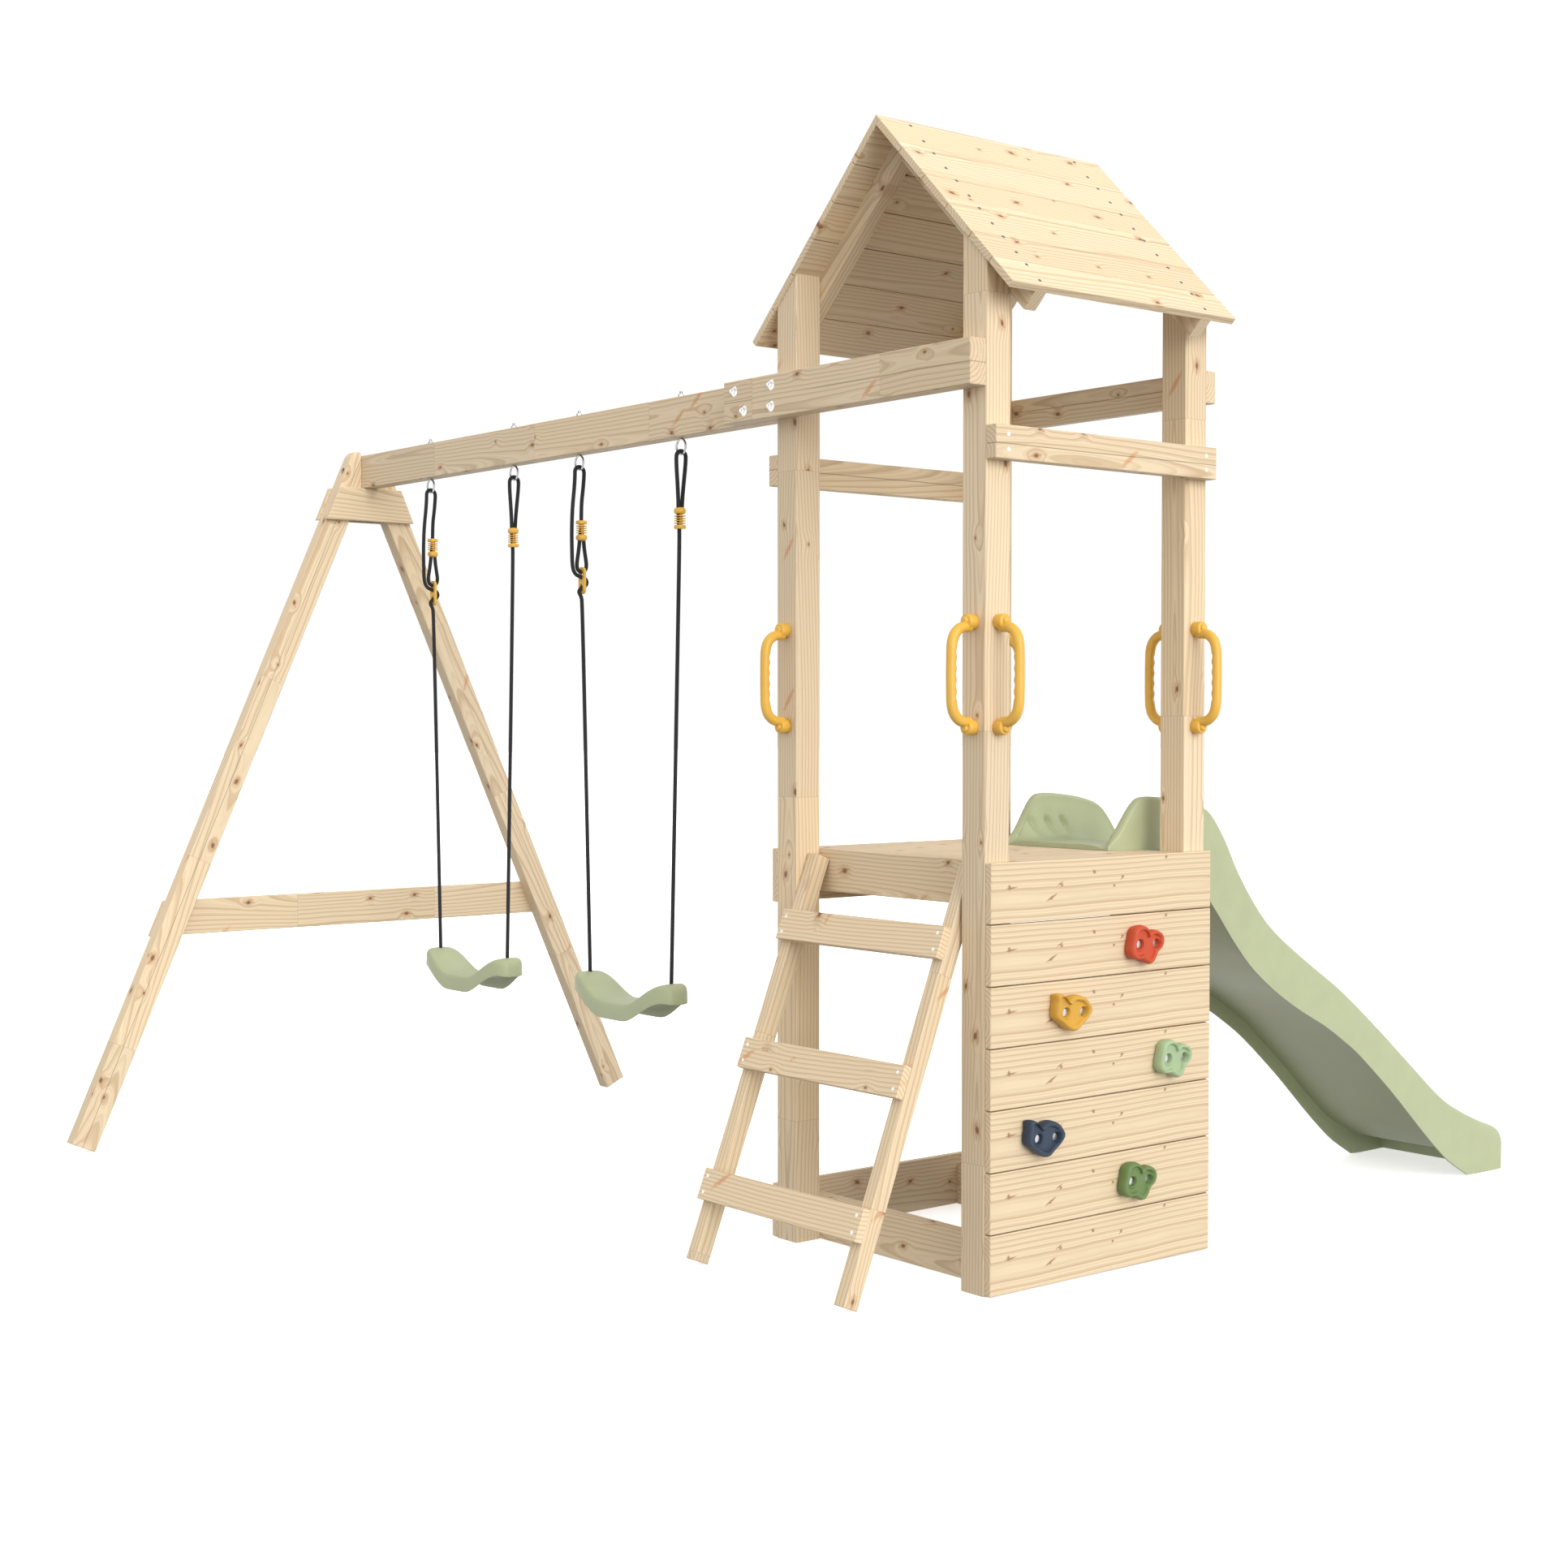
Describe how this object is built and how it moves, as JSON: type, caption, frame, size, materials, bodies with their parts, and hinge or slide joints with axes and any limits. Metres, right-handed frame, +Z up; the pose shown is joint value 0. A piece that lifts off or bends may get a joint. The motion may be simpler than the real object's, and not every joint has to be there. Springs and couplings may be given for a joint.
{
  "type": "play tower with swings",
  "caption": "Wooden garden play tower with pitched roof, climbing wall, ladder and slide, joined to a beam with hanging rope swings on an A-frame.",
  "frame": {"origin": "centre of the footprint, on the ground", "axes": "+Z up; +X along the swing beam from the A-frame to the tower; +Y from the ladder side to the slide side"},
  "size_m": [2.7946, 2.8897, 2.4964],
  "materials": {
    "pine": "bare planed softwood",
    "sage_plastic": "satin blow-moulded",
    "yellow_plastic": "satin moulded",
    "stone_red": "fine-grained resin",
    "stone_yellow": "fine-grained resin",
    "stone_mint": "fine-grained resin",
    "stone_navy": "fine-grained resin",
    "stone_green": "fine-grained resin",
    "zinc": "bright zinc plated",
    "rope": "braided polypropylene"
  },
  "bodies": {
    "frame": {"post_front_left": "pine", "post_front_right": "pine", "post_back_right": "pine", "post_back_left": "pine", "ground_beam_front": "pine", "ground_beam_back": "pine", "deck_beam_front": "pine", "deck_beam_back": "pine", "deck_ledgers": "pine", "deck_boards": "pine", "side_board_deck": "pine", "side_board_ground": "pine", "wall_boards": "pine", "rail_right": "pine", "rail_left": "pine", "rail_back": "pine", "rafters_front": "pine", "rafters_back": "pine", "roof_boards_right": "pine", "roof_boards_left": "pine", "swing_beam": "pine", "beam_splice": "pine", "leg_front": "pine", "leg_back": "pine", "gusset_inner": "pine", "gusset_outer": "pine", "crossbar": "pine", "ladder_rail_left": "pine", "ladder_rail_right": "pine", "ladder_rungs": "pine", "splice_bolts": "zinc", "apex_bolt": "zinc", "stone_bolts": "zinc", "eye_bolts": "zinc", "screws": "zinc", "slide": "sage_plastic", "grips_front": "yellow_plastic", "grips_wall": "yellow_plastic", "grips_slide": "yellow_plastic", "grip_caps": "yellow_plastic", "stone_red": "stone_red", "stone_yellow": "stone_yellow", "stone_mint": "stone_mint", "stone_navy": "stone_navy", "stone_green": "stone_green"},
    "swing_a": {"rope_left_a": "rope", "rope_right_a": "rope", "rope_knots_a": "rope", "ferrules_a": "yellow_plastic", "adjuster_a": "yellow_plastic", "seat_a": "sage_plastic"},
    "swing_b": {"rope_left_b": "rope", "rope_right_b": "rope", "rope_knots_b": "rope", "ferrules_b": "yellow_plastic", "adjuster_b": "yellow_plastic", "seat_b": "sage_plastic"}
  },
  "joints": [
    {"name": "swing_a_hinge", "type": "hinge", "parent": "frame", "child": "swing_a", "pos_m": [-0.74577, -0.52815, 1.8375], "axis": [1, 0, 0], "range_deg": [-60, 60]},
    {"name": "swing_b_hinge", "type": "hinge", "parent": "frame", "child": "swing_b", "pos_m": [0.01273, -0.52815, 1.8375], "axis": [1, 0, 0], "range_deg": [-60, 60]}
  ]
}
